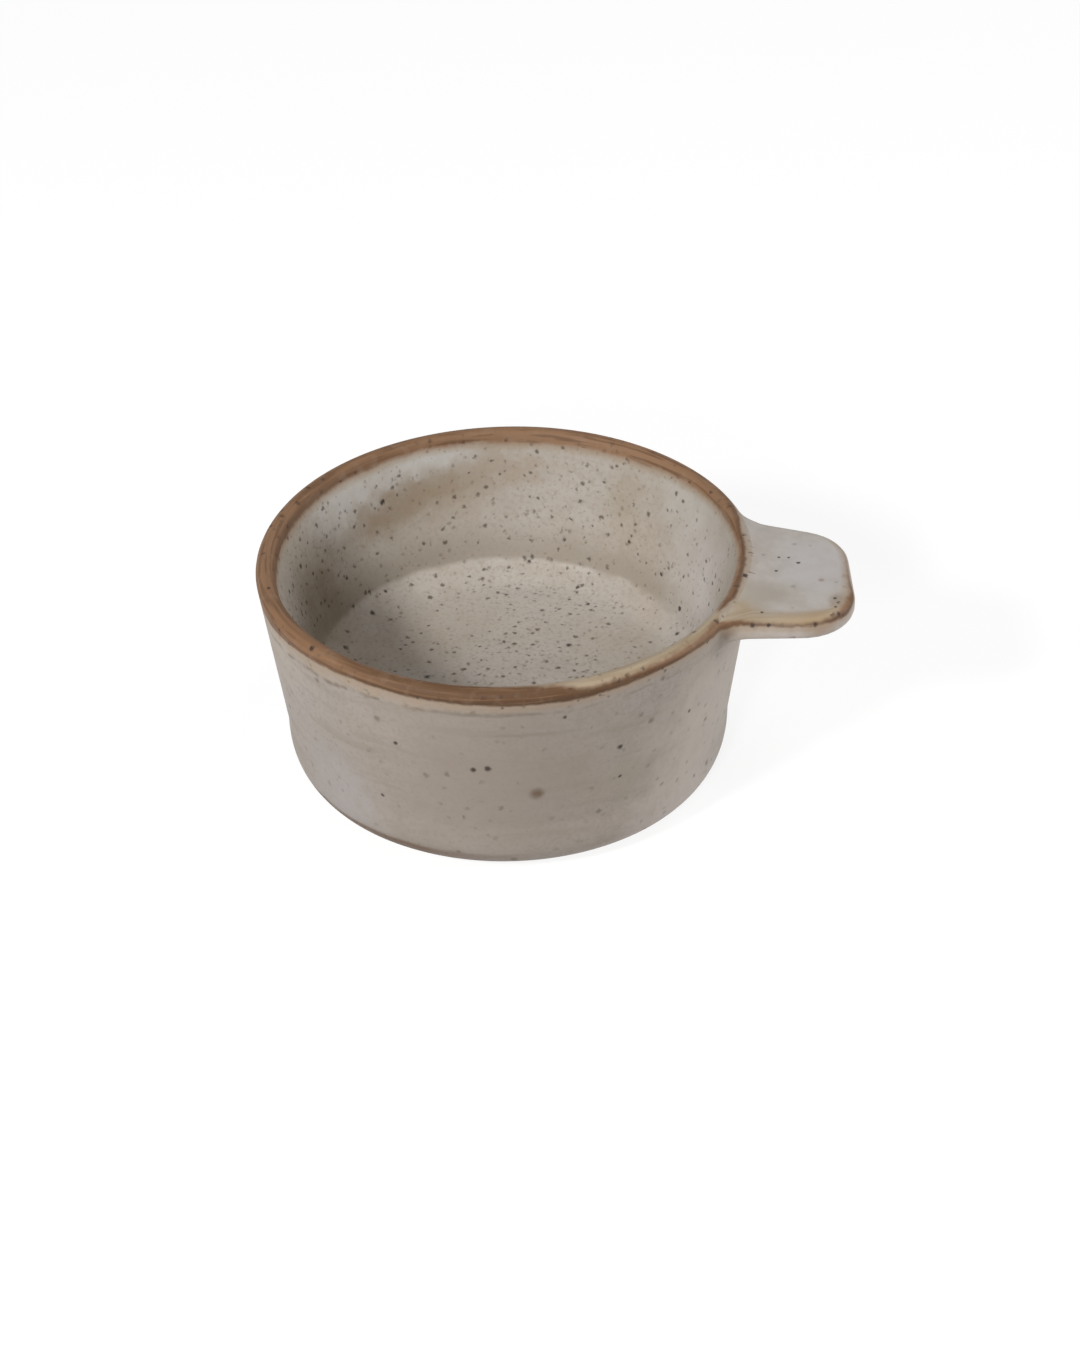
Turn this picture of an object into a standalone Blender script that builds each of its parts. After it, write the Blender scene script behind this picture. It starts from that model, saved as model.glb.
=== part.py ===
# A stoneware ramekin with a tab handle: a turned bowl, a tab luted to its wall with slip,
# a liner glaze inside and over the lip, and an outer glaze from the dip line to the heel.
# Metres, +Z up. The origin is the middle of the flat base, and the tab points along +X.

import math

import bmesh
import bpy
from mathutils import Vector

# Bowl, finished sizes over the glaze
RIM_DIAMETER = 0.1020
HEIGHT = 0.0490
LIP_THICKNESS = 0.0038
WALL_TAPER = math.radians(8.0)
INNER_TAPER = math.radians(17.0)
FLOOR_HEIGHT = 0.0183
FLOOR_FILLET = 0.0060
FOOT_DIAMETER = 0.0676
HEEL_HEIGHT = 0.0135
HEEL_BULGE = 0.0136

# Tab handle, finished sizes over the glaze
TAB_REACH = 0.0711
TAB_ROOT_WIDTH = 0.0376
TAB_TIP_WIDTH = 0.0310
TAB_SKEW = 0.0054
TAB_THICKNESS = 0.0050
TAB_BELOW_RIM = 0.0012
TAB_CORNER = 0.0110
TAB_FLARE = 0.0045
FLARE_SINK = 0.0006
TAB_EDGE = 0.0020

# Glaze and slip
COAT = 0.0005
SLIP = 0.0008
GAP = 0.0003
DIP_LINE_DROP = 0.0038
BARE_HEEL = 0.0024

# Smoothness of the round shapes
TURN_STEPS = 64
LIP_STEPS = 4
FILLET_STEPS = 5
HEEL_STEPS = 6
TAB_STEPS = 5
FLARE_STEPS = 3
EDGE_STEPS = 1
SHARP_ANGLE = math.radians(35.0)
WELD = 0.00001

# Looks
CLAY_COLOUR = (0.46, 0.33, 0.22, 1.0)
SLIP_COLOUR = (0.40, 0.29, 0.20, 1.0)
LINER_COLOUR = (0.38, 0.34, 0.29, 1.0)
OUTER_COLOUR = (0.36, 0.32, 0.28, 1.0)
CLAY_ROUGHNESS = 0.85
SLIP_ROUGHNESS = 0.90
LINER_ROUGHNESS = 0.35
OUTER_ROUGHNESS = 0.38

# The coats lie over the clay, each touching pair a gap apart. The flare ends a little inside
# the rim's line, and the uncut tab reaches in as far as the anchor.
SKIN = GAP + COAT
LIP_RADIUS = LIP_THICKNESS / 2
LIP_CENTRE = Vector((RIM_DIAMETER / 2 - LIP_RADIUS, HEIGHT - LIP_RADIUS))
DIP_LINE = HEIGHT - DIP_LINE_DROP
TAB_MIDDLE = HEIGHT - TAB_BELOW_RIM - TAB_THICKNESS / 2
TAB_ANCHOR = LIP_CENTRE.x - TAB_ROOT_WIDTH / 3
TAB_ROUND = min(TAB_EDGE, TAB_THICKNESS / 2)


def turned(angle):
    return Vector((math.cos(angle), math.sin(angle)))


def arc(centre, radius, start, end, steps):
    sweep = end - start
    return [centre + radius * turned(start + sweep * i / steps) for i in range(steps + 1)]


def arc_between(centre, first, last, steps):
    start = math.atan2(*reversed(first - centre))
    sweep = math.remainder(math.atan2(*reversed(last - centre)) - start, math.tau)
    return arc(centre, (first - centre).length, start, start + sweep, steps)


def fillet(before, corner, after, radius, steps):
    back = (before - corner).normalized()
    ahead = (after - corner).normalized()
    half = back.angle(ahead) / 2
    centre = corner + (back + ahead).normalized() * radius / math.sin(half)
    reach = radius / math.tan(half)
    return arc_between(centre, corner + back * reach, corner + ahead * reach, steps)


def bezier(a, b, c, d, steps):
    shares = [i / steps for i in range(steps + 1)]
    return [
        a * (1 - t) ** 3 + b * 3 * t * (1 - t) ** 2 + c * 3 * t * t * (1 - t) + d * t ** 3
        for t in shares
    ]


def offset(points, distance):
    """The path moved to its left, with mitred corners."""
    headings = [(b - a).normalized() for a, b in zip(points, points[1:])]
    lefts = [Vector((-h.y, h.x)) for h in headings]
    moved = []
    for point, before, after in zip(points, lefts[:1] + lefts, lefts + lefts[-1:]):
        moved.append(point + (before + after) * distance / (1 + before.dot(after)))
    return moved


def above(points, level):
    """The stretch of a falling path that lies above a level, ended on it."""
    kept = []
    for a, b in zip(points, points[1:]):
        kept.append(a)
        if b.y < level:
            return kept + [a.lerp(b, (a.y - level) / (a.y - b.y))]
    return points


def below(points, level):
    """The stretch of a falling path that lies below a level, started on it."""
    start = above(points, level)
    return start[-1:] + points[len(start) - 1:]


def clay_inside():
    """The clay's inner profile, from the middle of the floor to the crest of the lip."""
    radius = LIP_RADIUS - SKIN
    floor = FLOOR_HEIGHT - SKIN
    top = LIP_CENTRE + radius * turned(math.pi - INNER_TAPER)
    corner = Vector((top.x - (top.y - floor) * math.tan(INNER_TAPER), floor))
    middle = Vector((0, floor))
    cove = fillet(middle, corner, top, FLOOR_FILLET + SKIN, FILLET_STEPS)
    lip = arc(LIP_CENTRE, radius, math.pi - INNER_TAPER, math.pi / 2, LIP_STEPS)
    return [middle] + cove + lip


def clay_outside():
    """The clay's outer profile, from the crest of the lip to the edge of the base."""
    radius = LIP_RADIUS - SKIN
    lip = arc(LIP_CENTRE, radius, math.pi / 2, -WALL_TAPER, LIP_STEPS)
    top = lip[-1]
    shoulder = Vector((top.x - (top.y - HEEL_HEIGHT) * math.tan(WALL_TAPER), HEEL_HEIGHT))
    down = (shoulder - top).normalized()
    foot = Vector((FOOT_DIAMETER / 2, 0))
    heel = bezier(
        shoulder,
        shoulder + down * HEEL_HEIGHT / 4,
        foot + Vector((HEEL_BULGE, 0)),
        foot,
        HEEL_STEPS,
    )
    return lip + heel


def tab_tip(side):
    """A corner of the finished tab's tip before rounding. The hand-cut end runs out of square."""
    return Vector((TAB_REACH - side * TAB_SKEW / 2, side * TAB_TIP_WIDTH / 2))


def tab_side(side):
    """One edge of the finished tab, from inside the wall to the end of the tip's corner."""
    root = Vector((RIM_DIAMETER / 2, side * TAB_ROOT_WIDTH / 2))
    tip = tab_tip(side)
    along = (tip - root).normalized()
    out = Vector((-along.y, along.x)) * side
    seat = RIM_DIAMETER / 2 - FLARE_SINK
    start = root + out * TAB_FLARE
    lead = start.dot(along)
    run = math.sqrt(lead ** 2 - start.length_squared + (seat + TAB_FLARE) ** 2) - lead
    centre = start + along * run
    flare_start = centre * seat / (seat + TAB_FLARE)
    flare = arc_between(centre, flare_start, root + along * run, FLARE_STEPS)
    corner = fillet(root, tip, tab_tip(-side), TAB_CORNER, TAB_STEPS)
    return [Vector((TAB_ANCHOR, flare_start.y))] + flare + corner


def tab_outline():
    """The finished tab's outline, clockwise, open at its end inside the wall."""
    return tab_side(1) + tab_side(-1)[::-1]


def collection(name):
    made = bpy.data.collections.new(name)
    bpy.context.scene.collection.children.link(made)
    return made


def material(name, colour, roughness):
    made = bpy.data.materials.new(name)
    made.use_nodes = True
    shader = made.node_tree.nodes["Principled BSDF"]
    shader.inputs["Base Color"].default_value = colour
    shader.inputs["Roughness"].default_value = roughness
    shader.inputs["Metallic"].default_value = 0.0
    return made


def place(name, mesh, group):
    made = bpy.data.objects.new(name, mesh)
    group.objects.link(made)
    return made


def lathe(name, profile, group):
    """A profile of (radius, height) points turned round +Z."""
    mesh = bpy.data.meshes.new(name)
    edges = [(i, i + 1) for i in range(len(profile) - 1)]
    mesh.from_pydata([(point.x, 0, point.y) for point in profile], edges, [])
    made = place(name, mesh, group)
    screw = made.modifiers.new("turn", "SCREW")
    screw.axis = "Z"
    screw.steps = TURN_STEPS
    screw.render_steps = TURN_STEPS
    screw.use_merge_vertices = True
    screw.merge_threshold = WELD
    return made


def coat(name, path, group):
    """A glaze coat over a stretch of the clay's profile."""
    made = lathe(name, offset(path, GAP), group)
    solidify = made.modifiers.new("coat", "SOLIDIFY")
    solidify.thickness = COAT
    solidify.offset = 1.0
    solidify.use_even_offset = True
    return made


def plate(name, grow, group):
    """The tab's slab with its edges rounded, grown all round from the finished tab."""
    outline = offset(tab_outline(), grow)
    curve = bpy.data.curves.new(name, "CURVE")
    curve.dimensions = "2D"
    curve.fill_mode = "BOTH"
    curve.bevel_depth = TAB_ROUND + grow
    curve.bevel_resolution = EDGE_STEPS
    curve.extrude = TAB_THICKNESS / 2 - TAB_ROUND
    curve.offset = -curve.bevel_depth
    spline = curve.splines.new("POLY")
    spline.points.add(len(outline) - 1)
    for point, (x, y) in zip(spline.points, outline):
        point.co = (x, y, 0, 1)
    spline.use_cyclic_u = True
    guide = place(name + "_outline", curve, group)
    guide.location.z = TAB_MIDDLE
    bpy.context.view_layer.update()
    graph = bpy.context.evaluated_depsgraph_get()
    mesh = bpy.data.meshes.new_from_object(guide.evaluated_get(graph))
    shape = bmesh.new()
    shape.from_mesh(mesh)
    bmesh.ops.remove_doubles(shape, verts=shape.verts, dist=WELD)
    bmesh.ops.recalc_face_normals(shape, faces=shape.faces)
    shape.to_mesh(mesh)
    shape.free()
    made = place(name, mesh, group)
    made.matrix_world = guide.matrix_world
    bpy.data.objects.remove(guide)
    return made


def plug(name, grow, group):
    """The bowl's outside as a solid core, grown by a distance from the clay."""
    path = offset(clay_outside(), grow)
    crest = Vector((0, path[0].y))
    base = Vector((0, path[-1].y))
    return lathe(name, [crest] + path + [base], group)


def combine(piece, operation, other):
    step = piece.modifiers.new(operation.lower() + "_" + other.name, "BOOLEAN")
    step.operation = operation
    step.solver = "EXACT"
    step.object = other


def finish(piece, look):
    """Fixes the piece's shape, shades it and gives it its material."""
    graph = bpy.context.evaluated_depsgraph_get()
    mesh = bpy.data.meshes.new_from_object(piece.evaluated_get(graph))
    piece.modifiers.clear()
    piece.data = mesh
    mesh.shade_smooth()
    mesh.set_sharp_from_angle(angle=SHARP_ANGLE)
    mesh.materials.clear()
    mesh.materials.append(look)


for old in list(bpy.data.objects):
    bpy.data.objects.remove(old)

parts = collection("ramekin")
cutters = collection("cutters")

stoneware = material("stoneware", CLAY_COLOUR, CLAY_ROUGHNESS)
dry_slip = material("dry slip", SLIP_COLOUR, SLIP_ROUGHNESS)
liner = material("liner glaze", LINER_COLOUR, LINER_ROUGHNESS)
outer = material("outer glaze", OUTER_COLOUR, OUTER_ROUGHNESS)

inside = clay_inside()
outside = clay_outside()

# Bowl: one closed profile down to the middle of the base
bowl_body = lathe("bowl_body", inside + outside[1:] + [Vector((0, 0))], parts)

# Tab and slip: the slab cut to a saddle, and the pad between it and the wall
slip_face = plug("slip_face", GAP + SLIP, cutters)
wall_face = plug("wall_face", GAP, cutters)
tab_seat = plug("tab_seat", GAP + SLIP + GAP, cutters)
tab_handle = plate("tab_handle", -SKIN, parts)
combine(tab_handle, "DIFFERENCE", tab_seat)
handle_slip = plate("handle_slip", -SKIN, parts)
combine(handle_slip, "INTERSECT", slip_face)
combine(handle_slip, "DIFFERENCE", wall_face)

# Outer glaze: the wall's band and the tab's sleeve as one skin
tab_skin = plate("tab_skin", 0.0, cutters)
sleeve_seat = plug("sleeve_seat", GAP + COAT / 2, cutters)
combine(tab_skin, "DIFFERENCE", sleeve_seat)
tab_room = plate("tab_room", -COAT, cutters)
outer_glaze = coat("outer_glaze", above(below(outside, DIP_LINE - GAP), BARE_HEEL), parts)
combine(outer_glaze, "UNION", tab_skin)
combine(outer_glaze, "DIFFERENCE", tab_room)

# Liner glaze: over the lip down to the dip line, cut clear of the tab's sleeve
tab_clearance = plate("tab_clearance", GAP, cutters)
lip_core = lathe(
    "lip_core",
    [Vector((0, HEIGHT)), Vector((LIP_CENTRE.x, HEIGHT)), Vector((LIP_CENTRE.x, 0)), Vector((0, 0))],
    cutters,
)
combine(tab_clearance, "DIFFERENCE", lip_core)
liner_glaze = coat("liner_glaze", inside + above(outside, DIP_LINE)[1:], parts)
combine(liner_glaze, "DIFFERENCE", tab_clearance)

for cutter in cutters.objects:
    cutter.hide_render = True
    cutter.display_type = "WIRE"

bpy.context.view_layer.update()
finish(bowl_body, stoneware)
finish(tab_handle, stoneware)
finish(handle_slip, dry_slip)
finish(outer_glaze, outer)
finish(liner_glaze, liner)
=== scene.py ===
import math

import bmesh
import bpy
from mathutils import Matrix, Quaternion, Vector


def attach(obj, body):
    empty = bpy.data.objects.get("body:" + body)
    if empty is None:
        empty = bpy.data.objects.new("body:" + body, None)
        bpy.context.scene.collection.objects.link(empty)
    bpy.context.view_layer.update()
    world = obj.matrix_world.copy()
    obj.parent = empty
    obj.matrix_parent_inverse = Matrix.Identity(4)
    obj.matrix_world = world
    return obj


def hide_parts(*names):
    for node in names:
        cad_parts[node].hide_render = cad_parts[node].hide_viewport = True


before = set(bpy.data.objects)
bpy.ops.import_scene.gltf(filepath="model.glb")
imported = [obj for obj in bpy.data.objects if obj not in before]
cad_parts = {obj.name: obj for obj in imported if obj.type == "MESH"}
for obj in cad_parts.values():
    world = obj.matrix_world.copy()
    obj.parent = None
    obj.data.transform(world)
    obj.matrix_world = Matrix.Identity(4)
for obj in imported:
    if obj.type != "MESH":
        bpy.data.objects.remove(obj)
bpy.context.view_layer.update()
mm = 0.001
print("frame loaded:", ", ".join(sorted(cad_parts)))


# small tools

def deselectAll():
    if bpy.context.mode != "OBJECT":
        bpy.ops.object.mode_set(mode="OBJECT")
    bpy.ops.object.select_all(action="DESELECT")


def pick(piece):
    deselectAll()
    piece.select_set(True)
    bpy.context.view_layer.objects.active = piece


def smoothOver(piece):
    pick(piece)
    bpy.ops.object.shade_smooth_by_angle(angle=math.radians(bowl["smooth"]))


def blend(a, b, share):
    return a + (b - a) * share


def ease(share):
    share = max(0.0, min(1.0, share))
    return share * share * (3 - 2 * share)


def polar(angle, radius=1.0):
    return Vector((math.cos(angle), math.sin(angle))) * radius


def readFloats(mesh, name):
    values = [0.0] * len(mesh.vertices)
    mesh.attributes[name].data.foreach_get("value", values)
    return values


def writeFloats(mesh, name, values):
    layer = mesh.attributes.get(name) or mesh.attributes.new(name, "FLOAT", "POINT")
    layer.data.foreach_set("value", values)


# bowl: sizes in mm over the glaze, as radius and height

bowl = {
    "lipMiddle": Vector((49.1, 47.1)), "lipRadius": 1.9,
    "innerTaper": 17.0, "outerTaper": 8.0,
    "floor": 18.3, "dish": 31.8, "dishRound": 7.0, "dishRise": 28.0, "corner": 2.2,
    "heelTop": 13.5, "heelBulge": 13.6, "foot": 33.8,
    "glaze": 0.8,                                     # clay to finished surface
    "coat": 0.35,                                     # thickness of each coat's shell
    "turns": 256, "clayTurns": 160,
    "smooth": 40,                                     # degrees, a sharper edge stays hard
}
insideRows = {
    "floor": [0, 3, 7, 11, 15, 19, 23, 27, 30],       # radii
    "dish": 5, "slope": 3, "corner": 6, "wall": 15,   # steps on each stretch
}
clayRows = {
    "lip": [163, 145, 127, 109, 90, 71, 52, 33, 14, -8],            # degrees round the lip
    "wall": [44, 40, 36, 32, 28, 24, 20, 16.5],                     # heights
    "heel": [i / 16 for i in range(17)],                            # shares of the heel's curve
    "base": [32, 29, 26, 22, 18, 14, 10, 6, 3, 0],                  # radii
}
skinRows = {
    "lip": [163, 150, 138, 126, 114, 102, 90, 78, 66, 54], "crest": 90,
    "tabLip": [43.2, 30, 17, 4.5, -8],                              # where the tab leaves it
    "tabWall": [46.0, 45.2, 44.3, 43.3, 42.3, 41.3, 40.3],
    "seam": 6,                                                      # tab row of the dip line
    "wall": [38.4, 36.4, 34.2, 32, 29.8, 27.6, 25.4, 23.2, 21, 18.8, 16.8, 14.9],
    "heel": [i / 22 for i in range(15)],
    "hem": [(0.06, 0.66), (0.2, 0.676), (0.4, 0.684)],              # depth and share of the heel
}


def heelCurve(inset, shares):
    # the clay's heel, moved out to the surface that is wanted
    taper = math.radians(bowl["outerTaper"])
    top = bowl["lipMiddle"] + polar(-taper, bowl["lipRadius"] - bowl["glaze"])
    fall = top.y - bowl["heelTop"]
    shoulder = Vector((top.x - fall * math.tan(taper), bowl["heelTop"]))
    down = (shoulder - top).normalized()
    foot = Vector((bowl["foot"], 0))
    a, b = shoulder, shoulder + down * bowl["heelTop"] / 4
    c, d = foot + Vector((bowl["heelBulge"], 0)), foot
    points = []
    for s in shares:
        r = 1 - s
        point = a * r ** 3 + b * 3 * s * r ** 2 + c * 3 * s * s * r + d * s ** 3
        way = (b - a) * r ** 2 + (c - b) * 2 * s * r + (d - c) * s * s
        out = Vector((-way.y, way.x)).normalized()
        points.append(point + out * (bowl["glaze"] - inset))
    return points


def bendUp(middle, radius, first, last, steps):
    # an arc that climbs between two slopes, in degrees
    slopes = [blend(first, last, i / steps) for i in range(steps + 1)]
    return [middle + polar(math.radians(a - 90), radius) for a in slopes]


def between(first, last, steps):
    return [blend(first, last, i / steps) for i in range(1, steps)]


def innerProfile(inset):
    # flat floor, a sloped hem round it, a tight corner and the wall up to the lip
    taper, slope = math.radians(bowl["innerTaper"]), math.radians(bowl["dishRise"])
    top = bowl["lipMiddle"] + polar(math.pi - taper, bowl["lipRadius"] - inset)
    middle = Vector((bowl["dish"], bowl["floor"] + bowl["dishRound"]))
    points = [Vector((r, bowl["floor"] - inset)) for r in insideRows["floor"]]
    points += bendUp(middle, bowl["dishRound"] + inset, 0, bowl["dishRise"], insideRows["dish"])
    # the corner's middle stands one radius off the slope and off the wall
    offSlope, offWall = polar(slope + math.pi / 2), polar(math.pi - taper)
    wall = bowl["lipMiddle"] + offWall * bowl["lipRadius"]
    reach = offSlope.dot(middle) - bowl["dishRound"] + bowl["corner"]
    lean = offWall.dot(wall) + bowl["corner"]
    spread = offSlope.x * offWall.y - offSlope.y * offWall.x
    x = reach * offWall.y - lean * offSlope.y
    y = lean * offSlope.x - reach * offWall.x
    middle, steep = Vector((x, y)) / spread, 90 - bowl["innerTaper"]
    radius = bowl["corner"] + inset
    corner = bendUp(middle, radius, bowl["dishRise"], steep, insideRows["corner"])
    points += between(points[-1], corner[0], insideRows["slope"]) + corner
    return points + between(corner[-1], top, insideRows["wall"])


def lipArc(inset, angles):
    radius = bowl["lipRadius"] - inset
    return [bowl["lipMiddle"] + polar(math.radians(a), radius) for a in angles]


def wallAt(height, inset=0.0):
    taper = math.radians(bowl["outerTaper"])
    top = bowl["lipMiddle"] + polar(-taper, bowl["lipRadius"] - inset)
    return Vector((top.x - (top.y - height) * math.tan(taper), height))


# no thrown bowl is true: waves are given as how many round, size and start

hand = {
    "turn": 9.57, "rim": 51, "height": 49,            # the rim leans along this turn from the tab
    "leanAcross": 0.0106, "leanDeep": -0.0014,
    "swell": [(2, 0.0012, 0.6), (3, 0.0010, 2.1)],
    "lift": [(3, 0.10, 1.0), (5, 0.06, 0.4)],
    "corner": [(3, 0.3, 0.8), (7, 0.2, 2.0), (13, 0.1, 0.0)],
    "cornerAt": (37.5, 20.5), "cornerSize": (3, 3.5), "cornerHeights": (15, 30), "cornerRim": 43,
}


def wave(name, angle):
    return sum(size * math.sin(count * angle + start) for count, size, start in hand[name])


def handMade(point):
    x, y, z = point / mm
    turn = math.radians(hand["turn"])
    across = x * math.cos(turn) + y * math.sin(turn)
    across = max(-hand["rim"], min(hand["rim"], across))
    deep = y * math.cos(turn) - x * math.sin(turn)
    angle, radius = math.atan2(y, x), math.hypot(x, y)
    high = z / hand["height"]
    swell = 1 + high * wave("swell", angle)
    lift = high * (hand["leanAcross"] * across + hand["leanDeep"] * deep)
    lift += high ** 3 * wave("lift", angle)
    low, top = hand["cornerHeights"]
    if low < z < top and radius < hand["cornerRim"]:
        away = (radius - hand["cornerAt"][0]) / hand["cornerSize"][0]
        over = (z - hand["cornerAt"][1]) / hand["cornerSize"][1]
        lift += math.exp(-away ** 2 - over ** 2) * wave("corner", angle)
    return Vector((x * swell, y * swell, z + lift)) * mm


def turnProfile(name, points, turns):
    # a plane merged to one point, drawn along the profile and spun
    deselectAll()
    bpy.ops.mesh.primitive_plane_add(size=mm, location=(0, 0, 0))
    piece = bpy.context.object
    piece.name = piece.data.name = name
    bpy.ops.object.mode_set(mode="EDIT")
    bpy.ops.mesh.select_all(action="SELECT")
    bpy.ops.mesh.merge(type="CENTER")
    bpy.ops.transform.translate(value=(points[0].x * mm, 0, points[0].y * mm))
    for a, b in zip(points, points[1:]):
        step = (b - a) * mm
        bpy.ops.mesh.extrude_region_move(TRANSFORM_OT_translate={"value": (step.x, 0, step.y)})
    bpy.ops.object.mode_set(mode="OBJECT")
    writeFloats(piece.data, "row", list(range(len(points))))
    bpy.ops.object.mode_set(mode="EDIT")
    bpy.ops.mesh.select_all(action="SELECT")
    bpy.ops.mesh.spin(steps=turns, angle=math.tau, center=(0, 0, 0), axis=(0, 0, 1))
    bpy.ops.mesh.select_all(action="SELECT")
    bpy.ops.mesh.remove_doubles(threshold=mm / 100)
    bpy.ops.mesh.normals_make_consistent(inside=False)
    bpy.ops.object.mode_set(mode="OBJECT")
    return piece


def bareBowl():
    clay = bowl["glaze"]
    points = innerProfile(clay) + lipArc(clay, clayRows["lip"])
    points += [wallAt(h, clay) for h in clayRows["wall"]]
    points += heelCurve(clay, clayRows["heel"])
    points += [Vector((r, 0)) for r in clayRows["base"]]
    piece = turnProfile("bareBowl", points, bowl["clayTurns"])
    for v in piece.data.vertices:
        v.co = handMade(v.co)
    smoothOver(piece)
    return piece


bowlClay = bareBowl()
print("clay bowl:", len(bowlClay.data.polygons), "faces")


# tab: a slab drawn out of the wall, in mm

tab = {
    "reach": 71.1, "rootWidth": 37.6, "tipWidth": 31.0, "skew": 5.4,
    "top": 47.8, "under": 42.8, "edge": 2.0,
    "corner": 11.0, "flare": 4.5, "rim": 51.0, "sink": 0.6,
    "topFillet": 2.2, "underFillet": 2.5,
    "rootLift": 0.21, "rootRun": 6.5, "rootEnds": 0.4,   # the lip runs out flat onto the tab
    "half": 18,                                          # columns of the bowl on each side
    "steps": [
        0.02, 0.045, 0.075, 0.11, 0.15, 0.2, 0.27, 0.35,
        0.44, 0.53, 0.62, 0.71, 0.8, 0.88, 0.95, 1.0,
    ],
    "arcSteps": 24, "noseShare": 0.4,                    # rows in each rounding of the edge
    "freeFrom": 50.76, "freeRun": 4.5,                   # radius where the edge leaves the wall
    "edgeWay": 7.3, "edgeFrom": 0.3, "edgeFade": 5,      # for the marks down its edge
}


def arcBetween(middle, first, last):
    start = math.atan2(first.y - middle.y, first.x - middle.x)
    end = math.atan2(last.y - middle.y, last.x - middle.x)
    sweep = math.remainder(end - start, math.tau)
    radius, steps = (first - middle).length, tab["arcSteps"]
    return [middle + polar(start + sweep * i / steps, radius) for i in range(steps + 1)]


def tabTip(side):
    return Vector((tab["reach"] - side * tab["skew"] / 2, side * tab["tipWidth"] / 2))


def tabSide(side):
    # one edge of the tab: its flare off the wall and its corner
    root = Vector((tab["rim"], side * tab["rootWidth"] / 2))
    tip = tabTip(side)
    along = (tip - root).normalized()
    out = Vector((-along.y, along.x)) * side
    seat = tab["rim"] - tab["sink"]
    start = root + out * tab["flare"]
    lead = start.dot(along)
    run = math.sqrt(lead ** 2 - start.length_squared + (seat + tab["flare"]) ** 2) - lead
    middle = start + along * run
    flare = arcBetween(middle, middle * seat / (seat + tab["flare"]), root + along * run)
    back, ahead = -along, (tabTip(-side) - tip).normalized()
    halfAngle = back.angle(ahead) / 2
    centre = tip + (back + ahead).normalized() * tab["corner"] / math.sin(halfAngle)
    cut = tab["corner"] / math.tan(halfAngle)
    corner = arcBetween(centre, tip + back * cut, tip + ahead * cut)
    return flare, corner


def pathAt(points, share):
    # the point and the heading at a share of a path's length
    lengths = [(b - a).length for a, b in zip(points, points[1:])]
    left = share * sum(lengths)
    for a, b, length in zip(points, points[1:], lengths):
        if left <= length or b is points[-1]:
            return blend(a, b, left / length), (b - a).normalized()
        left -= length


sidePaths, tipPath = {}, []
for side in (-1, 1):
    flare, corner = tabSide(side)
    middle = tab["arcSteps"] // 2
    sidePaths[side] = flare + corner[:middle + 1]
    tipPath += corner[middle:][::-side]

bandRows = lipArc(0, skinRows["tabLip"]) + [wallAt(h) for h in skinRows["tabWall"]]
lastBand = len(bandRows) - 1
columnAngle = math.tau / bowl["turns"]


# on the tab u runs from its front side at -1 to its rear at 1, t from its top down its edge
# at 0 to its underside at 1, and v from the wall at 0 to the tip at 1

def bandAt(t):
    place = t * lastBand
    low = min(int(place), lastBand - 1)
    return blend(bandRows[low], bandRows[low + 1], place - low)


def rootShare(u):
    return ease((1 - abs(u)) / tab["rootEnds"])


def wallPoint(u, t):
    return polar(u * tab["half"] * columnAngle, bandAt(t).x)


def nose(t):
    # how far the rounded edge stands in from the outline, and its height
    r, top, under, share = tab["edge"], tab["top"], tab["under"], tab["noseShare"]
    if share <= t <= 1 - share:
        return 0.0, blend(top - r, under + r, (t - share) / (1 - 2 * share))
    a = math.radians(90 * min(t, 1 - t) / share)
    drop = r * (1 - math.cos(a))
    return r * (1 - math.sin(a)), top - drop if t < share else under + drop


def sidePoint(side, t, v):
    point, heading = pathAt(sidePaths[side], v)
    out = Vector((-heading.y, heading.x)) * side
    free = ease((point.length - tab["freeFrom"]) / tab["freeRun"])
    start = wallPoint(side, t) - sidePaths[side][0]
    return point - out * nose(t)[0] * free + start * (1 - free)


def tipPoint(u, t):
    point, heading = pathAt(tipPath, (u + 1) / 2)
    return point - Vector((heading.y, -heading.x)) * nose(t)[0]


def tabPoint(u, t, v):
    # a patch in plan between the wall, the two edges and the tip
    share = (u + 1) / 2
    near = blend(wallPoint(u, t), tipPoint(u, t), v)
    cross = blend(sidePoint(-1, t, v), sidePoint(1, t, v), share)
    wallEnds = blend(wallPoint(-1, t), wallPoint(1, t), share)
    tipEnds = blend(tipPoint(-1, t), tipPoint(1, t), share)
    plan = near + cross - blend(wallEnds, tipEnds, v)
    away = max(0.0, plan.length - bandAt(t).x)

    def left(run):
        return max(0.0, 1 - away / run)

    flat = rootShare(u)
    topShare = blend(1 - left(tab["topFillet"]) ** 4, 1 - left(tab["rootRun"]) ** 2, flat)
    underShare = math.sqrt(max(0.0, 1 - left(tab["underFillet"]) ** 2))
    start = bandAt(t).y + tab["rootLift"] * flat * (1 - t) ** 4
    height = blend(start, nose(t)[1], blend(topShare, underShare, t))
    return Vector((plan.x, plan.y, height)) * mm, away


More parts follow.
